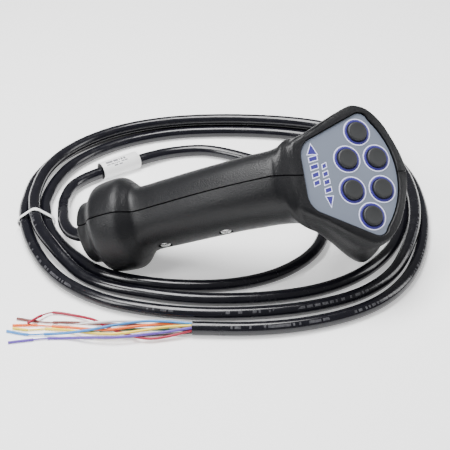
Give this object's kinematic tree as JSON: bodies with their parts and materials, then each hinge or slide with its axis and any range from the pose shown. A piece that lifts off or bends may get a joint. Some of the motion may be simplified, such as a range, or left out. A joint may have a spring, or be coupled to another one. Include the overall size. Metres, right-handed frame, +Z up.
{
  "type": "pendant control station",
  "caption": "Hand-held pendant control station: angled grip with spring-return push-buttons on a sloped plate, lying on a tied coil of cable with stripped cores.",
  "frame": {"origin": "centre of the grip assembly's bounding box at its lowest point, on the table it rests on; the cable, its cores, tie and sleeve are left out", "axes": "+X from the cable end towards the button head, +Z up from the table, +Y completes the right-handed frame, away from the side with the two visible grip screws"},
  "size_m": [0.273, 0.2504, 0.0985],
  "materials": {
    "brass": "turned",
    "cable": "glossy black sheath",
    "cap": "charcoal moulding, slightly domed edge",
    "clamp": "zinc-plated bar",
    "grommet": "soft black rubber",
    "label": "slate-grey printed film",
    "leads": "bundled insulated cores in black tape",
    "nut": "zinc-plated ring nut",
    "plate": "zinc-plated sheet under the label",
    "screw": "bright plated pan-head screw",
    "shell": "black moulded glass-filled nylon with a fine matt grain",
    "sleeve": "white marker sleeve",
    "spring": "drawn spring wire",
    "switch": "black moulding",
    "tie": "white band",
    "wire_black": "smooth coloured core insulation",
    "wire_blue": "smooth coloured core insulation",
    "wire_brown": "smooth coloured core insulation",
    "wire_green": "smooth coloured core insulation",
    "wire_orange": "smooth coloured core insulation",
    "wire_purple": "smooth coloured core insulation",
    "wire_red": "smooth coloured core insulation",
    "wire_white": "smooth coloured core insulation",
    "wire_yellow": "smooth coloured core insulation"
  },
  "bodies": {
    "station": {"cable": "cable", "cable_clamp": "clamp", "cable_grommet": "grommet", "cable_tie": "tie", "clamp_screw_1": "screw", "clamp_screw_2": "screw", "face_label": "label", "grip_screw_1": "screw", "grip_screw_2": "screw", "head_screw": "screw", "inner_lead_bundle": "leads", "label_sleeve": "sleeve", "left_shell": "shell", "return_spring_1": "spring", "return_spring_2": "spring", "return_spring_3": "spring", "return_spring_4": "spring", "return_spring_5": "spring", "return_spring_6": "spring", "right_shell": "shell", "switch_body_1": "switch", "switch_body_2": "switch", "switch_body_3": "switch", "switch_body_4": "switch", "switch_body_5": "switch", "switch_body_6": "switch", "switch_nut_1": "nut", "switch_nut_2": "nut", "switch_nut_3": "nut", "switch_nut_4": "nut", "switch_nut_5": "nut", "switch_nut_6": "nut", "switch_plate": "plate", "thread_insert_1": "brass", "thread_insert_2": "brass", "thread_insert_3": "brass", "wire_black": "wire_black", "wire_blue": "wire_blue", "wire_brown": "wire_brown", "wire_green": "wire_green", "wire_orange": "wire_orange", "wire_purple": "wire_purple", "wire_red": "wire_red", "wire_white": "wire_white", "wire_yellow": "wire_yellow"},
    "button_1": {"button_cap_1": "cap"},
    "button_2": {"button_cap_2": "cap"},
    "button_3": {"button_cap_3": "cap"},
    "button_4": {"button_cap_4": "cap"},
    "button_5": {"button_cap_5": "cap"},
    "button_6": {"button_cap_6": "cap"}
  },
  "joints": [
    {"name": "press_1", "type": "slide", "parent": "station", "child": "button_1", "axis": [-0.274, 0.5785, -0.7683], "range_m": [0, 0.0016], "stiffness_N_per_m": 600, "springref_m": -0.002, "deforming": ["return_spring_1"]},
    {"name": "press_2", "type": "slide", "parent": "station", "child": "button_2", "axis": [-0.274, 0.5785, -0.7683], "range_m": [0, 0.0016], "stiffness_N_per_m": 600, "springref_m": -0.002, "deforming": ["return_spring_2"]},
    {"name": "press_3", "type": "slide", "parent": "station", "child": "button_3", "axis": [-0.274, 0.5785, -0.7683], "range_m": [0, 0.0016], "stiffness_N_per_m": 600, "springref_m": -0.002, "deforming": ["return_spring_3"]},
    {"name": "press_4", "type": "slide", "parent": "station", "child": "button_4", "axis": [-0.274, 0.5785, -0.7683], "range_m": [0, 0.0016], "stiffness_N_per_m": 600, "springref_m": -0.002, "deforming": ["return_spring_4"]},
    {"name": "press_5", "type": "slide", "parent": "station", "child": "button_5", "axis": [-0.274, 0.5785, -0.7683], "range_m": [0, 0.0016], "stiffness_N_per_m": 600, "springref_m": -0.002, "deforming": ["return_spring_5"]},
    {"name": "press_6", "type": "slide", "parent": "station", "child": "button_6", "axis": [-0.274, 0.5785, -0.7683], "range_m": [0, 0.0016], "stiffness_N_per_m": 600, "springref_m": -0.002, "deforming": ["return_spring_6"]}
  ]
}
